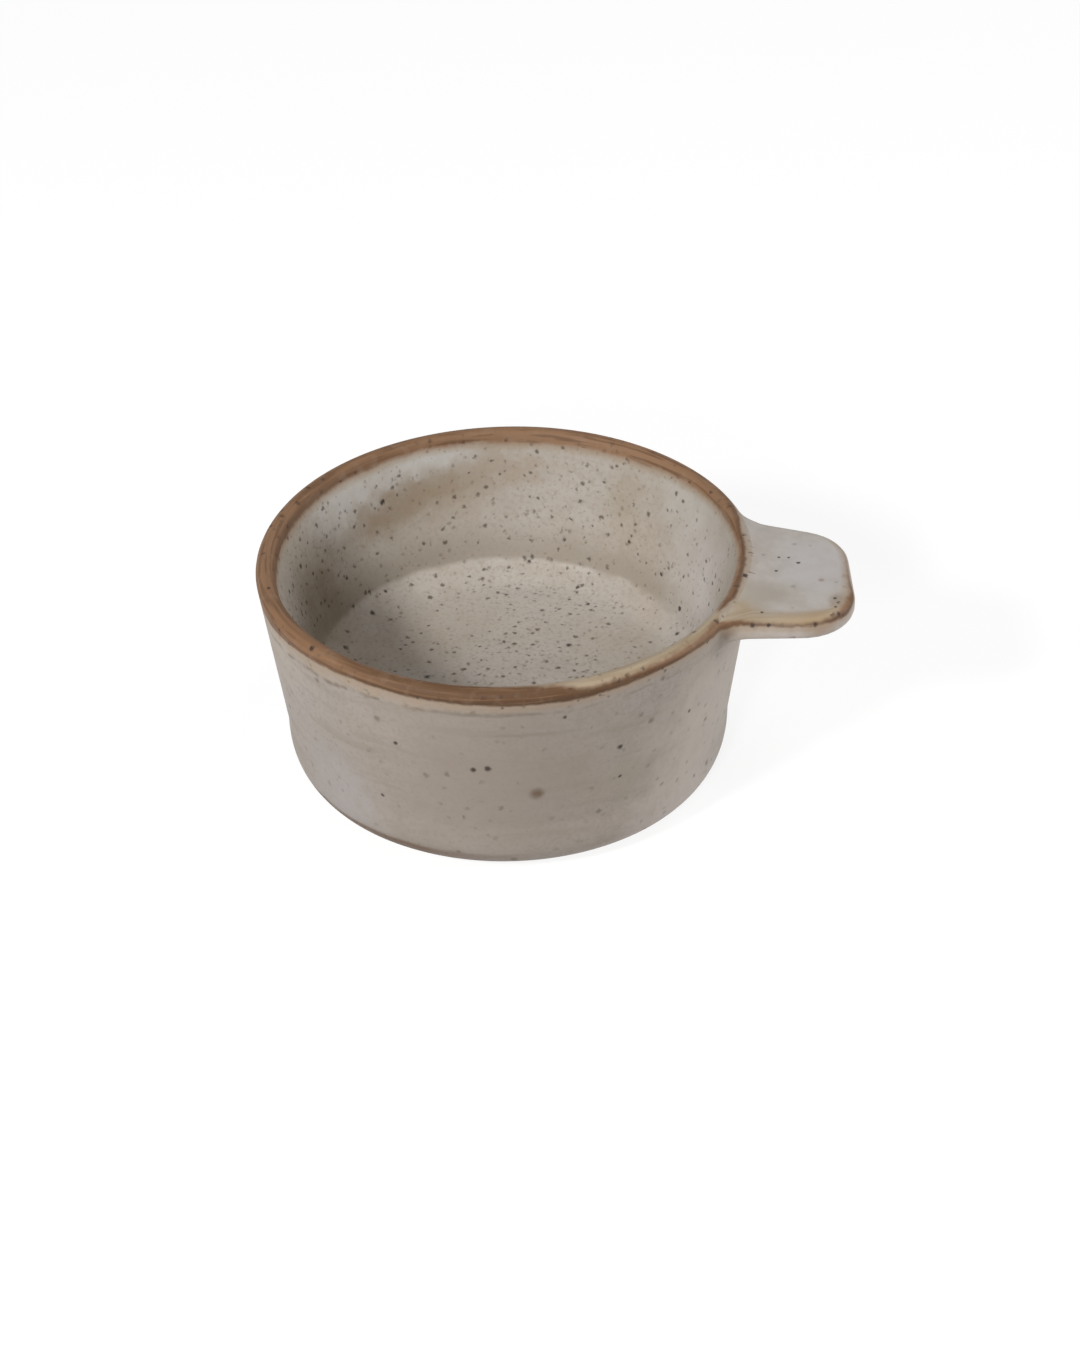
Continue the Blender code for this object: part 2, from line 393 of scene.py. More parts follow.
# how the glaze breaks over the lip, by degrees round the bowl from the tab: where the brown
# starts and ends, worn top, pale below, where the pale ends, dip line; places in mm over the lip
markNames = ("brownFrom", "brownTo", "worn", "pale", "paleTo", "dip")
rimMarks = [
    (-180, -3.8, 4.2, 0.0, 0.30, 7.6, 0.25),
    (-168, -4.2, 4.8, 0.0, 0.45, 8.0, 0.40),
    (-155, -3.2, 5.2, 0.0, 0.55, 8.4, 0.55),
    (-140, -2.2, 4.5, 0.0, 0.80, 8.0, 1.00),
    (-125, -1.6, 3.9, 0.0, 0.90, 7.4, 1.00),
    (-110, -1.2, 3.6, 0.0, 0.95, 6.8, 0.80),
    (-95, -1.0, 3.8, 0.0, 0.60, 6.3, 0.45),
    (-80, -0.6, 4.3, 0.1, 0.30, 6.6, 0.40),
    (-70, 0.4, 4.2, 0.6, 0.25, 6.6, 0.40),
    (-62, 2.2, 4.1, 1.0, 0.20, 6.5, 0.40),
    (-50, 1.8, 3.5, 1.0, 0.15, 6.4, 0.40),
    (-40, 1.3, 3.1, 1.0, 0.10, 6.6, 0.30),
    (-30, 1.3, 3.1, 1.0, 0.10, 6.6, 0.20),
    (-25.6, 0.4, 3.1, 0.9, 0.10, 6.6, 0.20),
    (-24, 0.8, 1.6, 0.9, 0.10, 5.0, 0.0),
    (-22.2, 0.8, -0.2, 0.8, 0.10, 4.5, 0.0),
    (-20, -0.6, 0.0, 0.5, 0.10, 4.0, 0.0),
    (-14, -1.2, 0.8, 0.2, 0.10, 3.4, 0.0),
    (5, -1.5, 0.0, 0.0, 0.10, 3.4, 0.0),
    (16, -1.9, 0.0, 0.0, 0.10, 3.4, 0.0),
    (24, -2.4, 0.7, 0.0, 0.20, 3.6, 0.0),
    (40, -2.5, 2.4, 0.0, 0.30, 5.6, 0.1),
    (60, -3.3, 3.2, 0.0, 0.30, 6.4, 0.3),
    (90, -3.7, 3.5, 0.0, 0.50, 6.8, 0.5),
    (122, -2.9, 3.6, 0.0, 0.60, 7.0, 0.5),
    (160, -3.6, 3.9, 0.0, 0.45, 7.4, 0.4),
    (180, -3.8, 4.2, 0.0, 0.30, 7.6, 0.25),
]
# the same along the tab's edge: 0 to 1 its front side, to 2 its tip, to 3 its rear side
tabMarks = [
    (0.0, 0.2, 2.9, 0.9, 0.15, 6.6, 0.0),
    (0.15, 1.3, 2.8, 0.9, 0.30, 7.2, 0.0),
    (0.3, 2.8, 3.5, 0.9, 0.40, 8.0, 0.0),
    (0.5, 3.4, 3.8, 0.9, 0.40, 8.0, 0.0),
    (0.8, 3.4, 3.8, 0.9, 0.40, 8.0, 0.0),
    (0.95, 2.9, 4.0, 0.8, 0.40, 8.0, 0.0),
    (1.08, 2.2, 4.1, 0.5, 0.30, 8.0, 0.0),
    (1.2, 2.1, 3.7, 0.3, 0.20, 8.0, 0.0),
    (1.3, 2.4, 3.3, 0.2, 0.10, 8.0, 0.0),
    (1.45, 2.7, 3.0, 0.1, 0.10, 8.0, 0.0),
    (1.7, 2.9, 2.9, 0.0, 0.10, 8.0, 0.0),
    (2.0, 3.2, 2.6, 0.0, 0.10, 8.0, 0.0),
    (2.7, 6.0, 1.0, 0.0, 0.10, 8.0, 0.0),
    (2.92, 1.8, 1.0, 0.0, 0.10, 6.0, 0.0),
    (3.0, -0.2, 1.1, 0.0, 0.20, 5.0, 0.0),
]


def marksAt(table, place):
    for a, b in zip(table, table[1:]):
        if a[0] <= place <= b[0]:
            share = (place - a[0]) / (b[0] - a[0])
            return [blend(x, y, share) for x, y in zip(a[1:], b[1:])]


def drawTab(skin, first, way):
    # out of the band of faces that carries it, step by step
    mesh, half = skin.data, tab["half"]
    last = first + lastBand
    pick(skin)
    bpy.ops.object.mode_set(mode="EDIT")
    bpy.ops.mesh.select_mode(type="FACE")
    bpy.ops.mesh.select_all(action="DESELECT")
    shape = bmesh.from_edit_mesh(mesh)
    layers = shape.verts.layers.float
    row, column = layers["row"], layers["column"]
    for face in shape.faces:
        face.select = all(first <= v[row] <= last and abs(v[column]) <= half for v in face.verts)
    bmesh.update_edit_mesh(mesh)
    for v in tab["steps"]:
        bpy.ops.mesh.extrude_region_move(TRANSFORM_OT_translate={"value": (0, 0, 0)})
        shape = bmesh.from_edit_mesh(mesh)
        layers = shape.verts.layers.float
        row, column, lip, onTab = [layers[name] for name in ("row", "column", "lip", "onTab")]
        for vert in shape.verts:
            if not vert.select:
                continue
            u, t = vert[column] / half, (vert[row] - first) / lastBand
            vert.co, away = tabPoint(u, t, v)
            # how far in from the tab's outline on its top, below zero down its edge
            ends = [tabPoint(-1, 0, v)[0], tabPoint(u, 0, 1)[0], tabPoint(1, 0, v)[0]]
            gaps = [(end.xy - vert.co.xy).length / mm for end in ends]
            onWall, onEdge = way[round(vert[row])] - way[first], tab["edgeWay"] * t
            down = -blend(onWall, onEdge, ease(v / tab["edgeFrom"]))
            vert[lip] = way[first] - (min(gaps) if t == 0 else down)
            vert[onTab] = 1.0 if t == 0 else ease(away / tab["edgeFade"])
            along = (v, 1.5 + u / 2, 3 - v)[gaps.index(min(gaps))]
            for name, value in zip(markNames, marksAt(tabMarks, along)):
                vert[layers[name]] = value
        bmesh.update_edit_mesh(mesh)
    bpy.ops.mesh.select_all(action="SELECT")
    bpy.ops.mesh.normals_make_consistent(inside=False)
    bpy.ops.object.mode_set(mode="OBJECT")


def glazedSkin():
    inside = innerProfile(0) + lipArc(0, skinRows["lip"])
    points = inside + bandRows + [wallAt(h) for h in skinRows["wall"]]
    points += heelCurve(0, skinRows["heel"])
    points += [heelCurve(inset, [share])[0] for inset, share in skinRows["hem"]]
    skin = turnProfile("skin", points, bowl["turns"])
    mesh = skin.data
    first = len(inside)
    crest = first - len(skinRows["lip"]) + skinRows["lip"].index(skinRows["crest"])

    # way over the lip in mm from its crest, inside counted below zero
    way = [0.0]
    for a, b in zip(points, points[1:]):
        way.append(way[-1] + (b - a).length)
    way = [w - way[crest] for w in way]
    rows = [round(r) for r in readFloats(mesh, "row")]
    turned = [math.atan2(v.co.y, v.co.x) for v in mesh.vertices]
    columns = [round(angle / columnAngle) for angle in turned]
    marks = [marksAt(rimMarks, math.degrees(angle)) for angle in turned]
    writeFloats(mesh, "column", columns)
    writeFloats(mesh, "lip", [way[r] for r in rows])
    writeFloats(mesh, "onTab", [0.0] * len(rows))
    for name, values in zip(markNames, zip(*marks)):
        writeFloats(mesh, name, values)

    # flatten the lip's outer side where the tab leaves it
    for vert, r, c in zip(mesh.vertices, rows, columns):
        if crest < r <= first and abs(c) <= tab["half"]:
            share = rootShare(c / tab["half"]) * (way[r] / way[first]) ** 2
            vert.co.z += tab["rootLift"] * share * mm

    drawTab(skin, first, way)
    floorFace = min(mesh.polygons, key=lambda f: f.center.xy.length)
    if floorFace.normal.z < 0:
        bpy.ops.object.mode_set(mode="EDIT")
        bpy.ops.mesh.select_all(action="SELECT")
        bpy.ops.mesh.flip_normals()
        bpy.ops.object.mode_set(mode="OBJECT")
    for vert in mesh.vertices:
        vert.co = handMade(vert.co)
    return skin, first


def joinTabMarks(coat, first):
    # the coat's own copy of the line where the tab leaves the lip takes the tab's marks
    names = ("row", "column", "lip", "onTab") + markNames
    marks = {name: readFloats(coat.data, name) for name in names}
    for i, (row, column) in enumerate(zip(marks["row"], marks["column"])):
        inward = tab["half"] - abs(column)
        if round(row) != first or inward < 0 or marks["onTab"][i] > 0:
            continue
        marks["lip"][i] -= inward * columnAngle * bandRows[0].x
        marks["onTab"][i] = 1.0
        for name, value in zip(markNames, marksAt(tabMarks, 0 if column < 0 else 3)):
            marks[name][i] = value
    for name in names:
        writeFloats(coat.data, name, marks[name])


def partCoats(skin, first):
    # the liner runs over the lip to the dip line, and stops short of the tab
    mesh = skin.data
    rows, columns, onTab = [readFloats(mesh, name) for name in ("row", "column", "onTab")]
    for face in mesh.polygons:
        low = max(rows[i] for i in face.vertices)
        byTab = all(abs(columns[i]) <= tab["half"] for i in face.vertices)
        bare = all(onTab[i] == 0 for i in face.vertices)
        face.select = bare and low <= first + (0.5 if byTab else skinRows["seam"] + 0.5)
    for part in (*mesh.edges, *mesh.vertices):
        part.select = False
    pick(skin)
    bpy.ops.object.mode_set(mode="EDIT")
    bpy.ops.mesh.select_mode(type="FACE")
    bpy.ops.mesh.separate(type="SELECTED")
    bpy.ops.object.mode_set(mode="OBJECT")
    liner = [o for o in bpy.context.selected_objects if o is not skin][0]
    skin.name = skin.data.name = "outerCoat"
    liner.name = liner.data.name = "linerCoat"
    joinTabMarks(skin, first)
    for coat in (skin, liner):
        shell = coat.modifiers.new("thickness", "SOLIDIFY")
        shell.thickness = bowl["coat"] * mm
        shell.offset = -1.0
        shell.use_even_offset = True
        pick(coat)
        bpy.ops.object.modifier_apply(modifier=shell.name)
        smoothOver(coat)
    return skin, liner


skin, firstBandRow = glazedSkin()
outerCoat, linerCoat = partCoats(skin, firstBandRow)
counts = [len(coat.data.polygons) for coat in (outerCoat, linerCoat)]
print("glaze coats:", counts[0], "and", counts[1], "faces")

for piece, node, slotName in (
    (bowlClay, "bowl_body", "stoneware"),
    (outerCoat, "outer_glaze", "outer_glaze"),
    (linerCoat, "liner_glaze", "liner_glaze"),
):
    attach(piece, "root")
    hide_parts(node)


# node tools

def srgb(r, g, b):
    def linear(c):
        c = c / 255
        return c / 12.92 if c <= 0.04045 else ((c + 0.055) / 1.055) ** 2.4
    return (linear(r), linear(g), linear(b), 1.0)


def addNode(tree, kind, inputs=None, **settings):
    made = tree.nodes.new(kind)
    for key, value in settings.items():
        setattr(made, key, value)
    for key, value in (inputs or {}).items():
        if isinstance(value, bpy.types.NodeSocket):
            tree.links.new(value, made.inputs[key])
        else:
            made.inputs[key].default_value = value
    return made


def calc(tree, operation, *values):
    inputs = dict(enumerate(values))
    return addNode(tree, "ShaderNodeMath", inputs, operation=operation).outputs[0]


def mulAdd(tree, value, factor, more):
    return calc(tree, "MULTIPLY_ADD", value, factor, more)


def times(tree, first, *others):
    for other in others:
        first = calc(tree, "MULTIPLY", first, other)
    return first


def vectorCalc(tree, operation, *values):
    made = addNode(tree, "ShaderNodeVectorMath", dict(enumerate(values)), operation=operation)
    return made.outputs["Value"] if operation == "LENGTH" else made.outputs["Vector"]


def scaled(tree, vector, size):
    inputs = {0: vector, "Scale": size}
    return addNode(tree, "ShaderNodeVectorMath", inputs, operation="SCALE").outputs[0]


def level(tree, where):
    return vectorCalc(tree, "MULTIPLY", where, (1, 1, 0))


def heightOf(tree, where):
    return addNode(tree, "ShaderNodeSeparateXYZ", {"Vector": where}).outputs["Z"]


def rise(tree, value, low, high):
    # smooth, from 0 at low to 1 at high, either way round
    inputs = {"Value": value, "From Min": low, "From Max": high}
    made = addNode(tree, "ShaderNodeMapRange", inputs, interpolation_type="SMOOTHSTEP")
    return made.outputs["Result"]


def tint(tree, colour, tone, *shares):
    # the tone over the colour, by the shares multiplied
    inputs = {0: times(tree, *shares), 6: colour, 7: tone}
    return addNode(tree, "ShaderNodeMix", inputs, data_type="RGBA").outputs[2]


def noise(tree, where, scale, detail=2.0, rough=0.5, output="Fac"):
    inputs = {"Vector": where, "Scale": scale, "Detail": detail, "Roughness": rough}
    return addNode(tree, "ShaderNodeTexNoise", inputs).outputs[output]


def evenNoise(tree, where, scale):
    # about half below zero
    return calc(tree, "SUBTRACT", noise(tree, where, scale), 0.5)


def shaken(tree, where, scale, size, detail=2.0):
    wobble = noise(tree, where, scale, detail, output="Color")
    wobble = vectorCalc(tree, "SUBTRACT", wobble, (0.5, 0.5, 0.5))
    return vectorCalc(tree, "ADD", where, scaled(tree, wobble, size))


def newGroup(name, ins, outs):
    group = bpy.data.node_groups.new(name, "ShaderNodeTree")
    for label in ins:
        vector = label in ("Place", "Centre", "Stretch")
        kind = "NodeSocketVector" if vector else "NodeSocketFloat"
        group.interface.new_socket(label, in_out="INPUT", socket_type=kind)
    for label in outs:
        group.interface.new_socket(label, in_out="OUTPUT", socket_type="NodeSocketFloat")
    given = group.nodes.new("NodeGroupInput").outputs
    return group, given, group.nodes.new("NodeGroupOutput").inputs


def useGroup(tree, group, inputs):
    return addNode(tree, "ShaderNodeGroup", inputs, node_tree=group).outputs


# effects that the glazes and the clay share, all in mm

def makeIronSpecks():
    ins = ("Place", "Spacing", "Size", "Blur", "Share")
    group, given, result = newGroup("iron specks", ins, ("Mask",))
    moved = shaken(group, given["Place"], 1.3, 1.0)
    inputs = {"Vector": moved, "Scale": calc(group, "DIVIDE", 1.0, given["Spacing"])}
    cells = addNode(group, "ShaderNodeTexVoronoi", inputs)
    away = times(group, cells.outputs["Distance"], given["Spacing"])
    chance = addNode(group, "ShaderNodeSeparateColor", {"Color": cells.outputs["Color"]}).outputs
    size = times(group, given["Size"], mulAdd(group, chance[0], 0.6, 0.4))
    spot = rise(group, away, calc(group, "ADD", size, given["Blur"]), times(group, size, 0.4))
    kept = calc(group, "LESS_THAN", chance[1], given["Share"])
    group.links.new(times(group, spot, kept), result["Mask"])
    return group


def makeGlazeFlow():
    # slow clouds of thick and thin glaze, finer mottle and grain, rings left by the fingers
    outs = ("Cloud", "Drift", "Mottle", "Grain", "Rings", "Peel")
    group, given, result = newGroup("glaze flow", ("Place",), outs)
    where = given["Place"]
    away = vectorCalc(group, "ADD", where, (140, 60, 20))
    flat = vectorCalc(group, "MULTIPLY", shaken(group, where, 0.06, 5.0), (0.03, 0.03, 0.33))
    for label, made in zip(outs, (
        rise(group, noise(group, where, 0.05, 3.0, 0.55), 0.33, 0.67),
        rise(group, noise(group, away, 0.03), 0.35, 0.65),
        rise(group, noise(group, where, 0.24, 3.0, 0.6), 0.3, 0.7),
        noise(group, where, 1.1, 3.0, 0.6),
        noise(group, flat, 1.0, 3.0, 0.6),
        noise(group, where, 0.7),
    )):
        group.links.new(made, result[label])
    return group


def makeBrokenLip():
    # the glaze thins to brown over the lip; places along it come from the piece's own marks
    group, given, result = newGroup(
        "broken lip",
        ("Place", "Way", "From", "To", "Worn", "Pale", "Pale to", "Dip"),
        ("Brown", "Edge", "Inner", "Fringe", "Worn", "Pale", "Dip", "Streak"),
    )
    where, way = given["Place"], given["Way"]
    around = scaled(group, vectorCalc(group, "NORMALIZE", level(group, where)), 4.0)
    across = addNode(group, "ShaderNodeCombineXYZ", {"Z": times(group, way, 1.3)}).outputs[0]
    slow, fine = evenNoise(group, where, 0.12), evenNoise(group, where, 0.8)
    drawn = mulAdd(group, slow, 1.4, mulAdd(group, fine, 0.6, way))
    fromStart = calc(group, "SUBTRACT", drawn, given["From"])
    toEnd = calc(group, "SUBTRACT", given["To"], drawn)
    overPale = calc(group, "SUBTRACT", given["Pale to"], mulAdd(group, slow, 2.4, way))
    gap = calc(group, "ABSOLUTE", calc(group, "ADD", fine, overPale))
    covered = rise(group, evenNoise(group, where, 0.4), -0.25, 0.0)
    broken = rise(group, evenNoise(group, where, 0.3), -0.14, 0.12)
    masks = {
        "Brown": (
            rise(group, fromStart, -0.8, 0.6), rise(group, toEnd, -0.4, 0.4),
            mulAdd(group, covered, 0.12, 0.88),
        ),
        "Edge": (rise(group, toEnd, 1.5, 0.5), rise(group, toEnd, -0.4, 0.2)),
        "Inner": (rise(group, fromStart, -0.4, 0.6), rise(group, fromStart, 2.6, 1.2)),
        "Fringe": (rise(group, fromStart, -2.2, -0.3), rise(group, toEnd, -2.2, 0.2)),
        "Worn": (
            given["Worn"], rise(group, fromStart, -5.0, -2.2), rise(group, fromStart, 0.4, -0.4),
        ),
        "Pale": (
            given["Pale"], rise(group, toEnd, 0.3, -0.9), rise(group, overPale, -0.6, 1.4),
            mulAdd(group, broken, 0.6, 0.4),
        ),
        "Dip": (given["Dip"], rise(group, gap, 0.8, 0.1), broken),
        "Streak": (noise(group, vectorCalc(group, "ADD", around, across), 1.0, 2.0, 0.45),),
    }
    for label, shares in masks.items():
        group.links.new(times(group, *shares), result[label])
    return group


def makeSmear():
    # a soft ragged patch round one place
    ins = ("Place", "Centre", "Stretch", "Reach", "Ragged")
    group, given, result = newGroup("smear", ins, ("Mask",))
    moved = shaken(group, given["Place"], 0.28, given["Ragged"], 3.0)
    offset = vectorCalc(group, "SUBTRACT", moved, given["Centre"])
    offset = vectorCalc(group, "MULTIPLY", offset, given["Stretch"])
    away, reach = vectorCalc(group, "LENGTH", offset), given["Reach"]
    group.links.new(rise(group, away, reach, times(group, reach, 0.15)), result["Mask"])
    return group


ironSpecks, glazeFlow = makeIronSpecks(), makeGlazeFlow()
brokenLip, smear = makeBrokenLip(), makeSmear()


def newMaterial(name, shine):
    made = bpy.data.materials.new(name)
    made.use_nodes = True
    tree = made.node_tree
    shader = tree.nodes["Principled BSDF"].inputs
    shader["Specular IOR Level"].default_value = shine
    inputs = {"Vector": addNode(tree, "ShaderNodeTexCoord").outputs["Object"]}
    inputs["Scale"] = (1 / mm, 1 / mm, 1 / mm)
    return made, tree, shader, addNode(tree, "ShaderNodeMapping", inputs).outputs[0]


def bumpUp(tree, shader, height, strength):
    inputs = {"Height": height, "Distance": mm / 10, "Strength": strength}
    tree.links.new(addNode(tree, "ShaderNodeBump", inputs).outputs[0], shader["Normal"])


def mark(tree, name):
    return addNode(tree, "ShaderNodeAttribute", attribute_name=name).outputs["Fac"]


def smearAt(tree, where, at, reach, stretch=(1, 1, 1), ragged=6.0):
    inputs = {"Centre": at, "Reach": reach, "Stretch": stretch, "Ragged": ragged}
    return useGroup(tree, smear, {"Place": where, **inputs})["Mask"]


def patch(at, reach, tone, share, stretch=(1, 1, 1), ragged=8.0):
    return {"smear": (at, reach, stretch, ragged), "tone": srgb(*tone), "share": share}


def fleck(spacing, size, blur, share, strength, tone):
    sizes = {"Spacing": spacing, "Size": size, "Blur": blur}
    return {"sizes": sizes, "share": share, "strength": strength, "tone": srgb(*tone)}


def speckle(tree, where, colour, flecks, crowd=None):
    # each kind of fleck over the colour, and where they all are
    everywhere = None
    for kind in flecks:
        share = kind["share"] if crowd is None else times(tree, crowd, kind["share"])
        inputs = {"Place": where, "Share": share, **kind["sizes"]}
        mask = useGroup(tree, ironSpecks, inputs)["Mask"]
        colour = tint(tree, colour, kind["tone"], mask, kind["strength"])
        everywhere = mask if everywhere is None else calc(tree, "MAXIMUM", everywhere, mask)
    return colour, everywhere


# glaze over the lip: each tone's share, and its place and reach where it has one

rimLook = {
    "brown": srgb(120, 88, 62), "brownShare": 0.96,
    "light": srgb(134, 102, 76), "lightStreaks": 0.4,
    "umber": srgb(82, 55, 32), "umberStreaks": 0.6,
    "deep": srgb(66, 44, 27), "edgeShare": 0.5,
    "shades": [
        ("light", (20, 50, 48), 55, 1.0),             # paler at the back
        ("light", (-50, -4, 48), 34, 0.7),
        ("umber", (8, -50, 47), 50, 0.85),
    ],
    "innerAt": (-48, 2, 48), "innerReach": 60, "innerShare": 0.6,
    "pale": srgb(159, 138, 114), "paleShare": 0.62,
    "dip": srgb(104, 91, 76), "dipShare": 0.8,
    "fringe": srgb(148, 126, 102), "fringeShare": 0.6,
    "tan": srgb(148, 128, 100), "cream": srgb(166, 150, 126), "wornShare": 0.8,
    "honey": srgb(161, 138, 106), "honeyAt": (64, -17, 46), "honeyReach": 11,    # tab's front edge
    "spots": fleck(3.4, 0.6, 0.4, 0.7, 0.7, (66, 44, 27)),
}


def overLip(tree, where, colour):
    look = rimLook
    labels = ("From", "To", "Worn", "Pale", "Pale to", "Dip")
    inputs = {label: mark(tree, name) for label, name in zip(labels, markNames)}
    lip = useGroup(tree, brokenLip, {"Place": where, "Way": mark(tree, "lip"), **inputs})
    streak = lip["Streak"]
    for label, name in (("Pale", "pale"), ("Dip", "dip"), ("Fringe", "fringe")):
        colour = tint(tree, colour, look[name], lip[label], look[name + "Share"])
    rubbed = tint(tree, look["tan"], look["cream"], rise(tree, streak, 0.35, 0.65))
    byTab = smearAt(tree, where, look["honeyAt"], look["honeyReach"])
    rubbed = tint(tree, rubbed, look["honey"], byTab)
    colour = tint(tree, colour, rubbed, lip["Worn"], look["wornShare"])
    drawn = look["brown"]
    for name, at, reach, share in look["shades"]:
        drawn = tint(tree, drawn, look[name], smearAt(tree, where, at, reach), share)
    dark, pale = rise(tree, streak, 0.5, 0.36), rise(tree, streak, 0.52, 0.66)
    drawn = tint(tree, drawn, look["umber"], dark, look["umberStreaks"])
    drawn = tint(tree, drawn, look["light"], pale, look["lightStreaks"])
    inner = smearAt(tree, where, look["innerAt"], look["innerReach"])
    drawn = tint(tree, drawn, look["umber"], lip["Inner"], inner, look["innerShare"])
    drawn = tint(tree, drawn, look["deep"], lip["Edge"], look["edgeShare"])
    colour = tint(tree, colour, drawn, lip["Brown"], look["brownShare"])
    # iron spots strung along the brown
    return speckle(tree, where, colour, [look["spots"]], lip["Brown"])[0], lip["Brown"]


def thinWallAndShade(tree, where, colour, look):
    # the glaze darker on the wall than on the floor, most of all just above the floor, and on the
    # floor's hem: partly thinner glaze, partly painted shade; fewer specks high up
    moved = shaken(tree, where, 0.15, 2.5)
    tall, out = heightOf(tree, moved), vectorCalc(tree, "LENGTH", level(tree, moved))
    low, high = look["foot"]
    most = mulAdd(tree, rise(tree, tall, *look["fade"]), 0.55, 0.25)
    thin = times(tree, rise(tree, tall, low, high), most)
    hem = times(tree, rise(tree, out, *look["floorHem"]), rise(tree, tall, high, low), 0.2)
    kept = mulAdd(tree, rise(tree, tall, *look["fewer"]), -0.5, 1.0)
    return tint(tree, colour, look["tone"], calc(tree, "ADD", thin, hem)), kept


def wipedHem(tree, where, colour, look):
    # brown again where the coat was wiped thin round the heel
    height = mulAdd(tree, evenNoise(tree, where, 0.1), 2.0, heightOf(tree, where))
    thin = times(tree, rise(tree, height, *look["upper"]), rise(tree, height, *look["lower"]))
    strong = mulAdd(tree, smearAt(tree, where, look["at"], look["reach"]), 0.85, 0.1)
    return tint(tree, colour, look["tone"], thin, strong)


def makeGlaze(name, look):
    made, tree, shader, where = newMaterial(name, 0.22)
    flow = useGroup(tree, glazeFlow, {"Place": where})
    mottle, kept = flow["Mottle"], 1.0
    colour = tint(tree, look["warm"], look["cool"], flow["Cloud"])
    colour = tint(tree, colour, look["body"], mottle, 0.55)
    for mask, share in (
        (flow["Drift"], look["driftShare"]),
        (rise(tree, flow["Rings"], 0.5, 0.72), look["ringShare"]),
        (rise(tree, flow["Grain"], 0.45, 0.7), look["grainShare"]),
        (rise(tree, mottle, 0.6, 0.1), look["mottleShare"]),
    ):
        colour = tint(tree, colour, look["dull"], mask, share)
    uneven = mulAdd(tree, mottle, 0.4, 0.75)
    # partly painted shade low on the wall and round the floor's hem
    if "thin" in look:
        colour, kept = thinWallAndShade(tree, where, colour, look["thin"])
    if "tab" in look:
        onTab = mark(tree, "onTab")
        colour = tint(tree, colour, look["tab"], onTab, uneven, 0.9)
        kept = mulAdd(tree, onTab, -0.7, 1.0)
    for spot in look["patches"]:
        mask = smearAt(tree, where, *spot["smear"])
        colour = tint(tree, colour, spot["tone"], mask, uneven, spot["share"])
    if "outside" in look:
        # past the lip it is stained like the coat below it
        past = rise(tree, mark(tree, "lip"), 2.0, 4.0)
        colour = tint(tree, colour, look["outside"], past, 0.95)
    colour, brown = overLip(tree, where, colour)
    if "hem" in look:
        colour = wipedHem(tree, where, colour, look["hem"])
    crowd = mulAdd(tree, flow["Drift"], -0.6, mulAdd(tree, flow["Cloud"], 0.5, 1.0))
    colour, dark = speckle(tree, where, colour, look["specks"], times(tree, crowd, kept))
    if "spots" in look:
        near = shaken(tree, where, 0.9, 0.6)
        for at, size in look["spots"]:
            away = vectorCalc(tree, "LENGTH", vectorCalc(tree, "SUBTRACT", near, at))
            colour = tint(tree, colour, look["spotTone"], rise(tree, away, size, size * 0.3), 0.95)

    # short radial flecks where the tab leaves the lip
    radial = vectorCalc(tree, "MULTIPLY", where, (0.32, 1, 0.32))
    root = smearAt(tree, where, (50, 0, 48.5), 2.6, (1, 0.16, 0.6), 1.0)
    colour = speckle(tree, radial, colour, [look["dash"]], root)[0]
    tree.links.new(colour, shader["Base Color"])

    # satin surface, drier over the brown and the iron
    sheen = mulAdd(tree, brown, 0.15, mulAdd(tree, mottle, 0.1, look["rough"]))
    tree.links.new(mulAdd(tree, dark, 0.12, sheen), shader["Roughness"])
    height = mulAdd(tree, flow["Rings"], look["ringDepth"], times(tree, flow["Peel"], 0.5))
    height = mulAdd(tree, flow["Grain"], 0.12, height)
    bumpUp(tree, shader, mulAdd(tree, dark, -0.2, height), 0.9)
    return made


# the two coats: flecks have spacing, size, blurred edge, share kept, strength and tone,
# and patches have place, reach, tone and share

